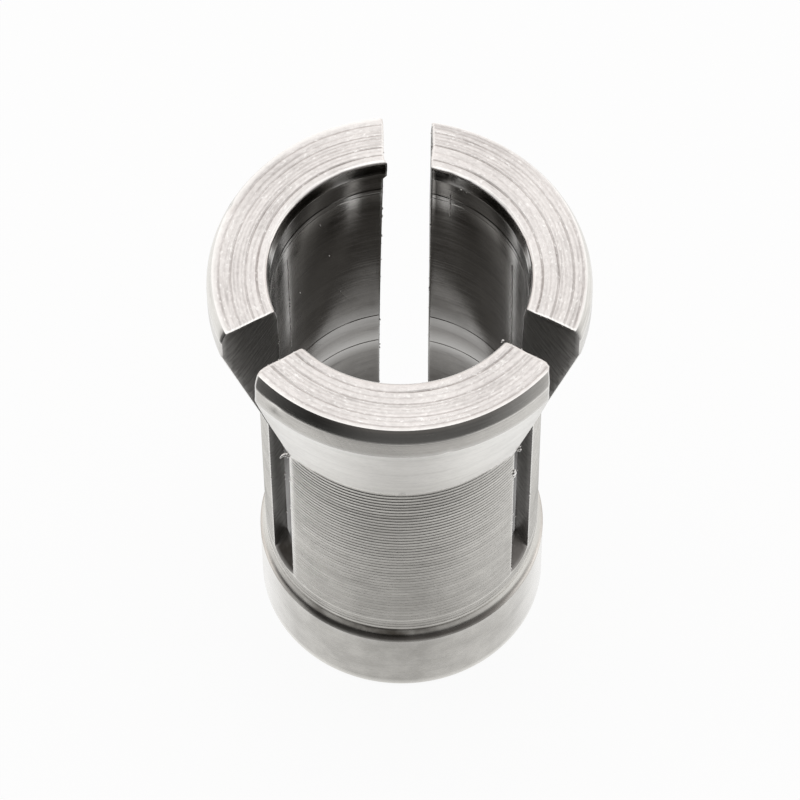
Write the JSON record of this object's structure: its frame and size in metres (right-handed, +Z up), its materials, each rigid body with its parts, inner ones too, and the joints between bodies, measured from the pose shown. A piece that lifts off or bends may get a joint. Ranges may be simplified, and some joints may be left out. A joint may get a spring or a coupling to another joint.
{
  "type": "grinder collet",
  "caption": "Slotted steel collet with a conical head, a straight body, a guide ring at its foot and a bore that grips a round tool shank.",
  "frame": {"origin": "centre of the base, on the axis of the bore", "axes": "+Z up the axis, from the guide ring to the face that the shank enters; +Y through the middle of one slot"},
  "size_m": [0.012, 0.012, 0.0182],
  "materials": {
    "steel": "turned, bright"
  },
  "bodies": {
    "root": {"collet": "steel"}
  },
  "joints": []
}
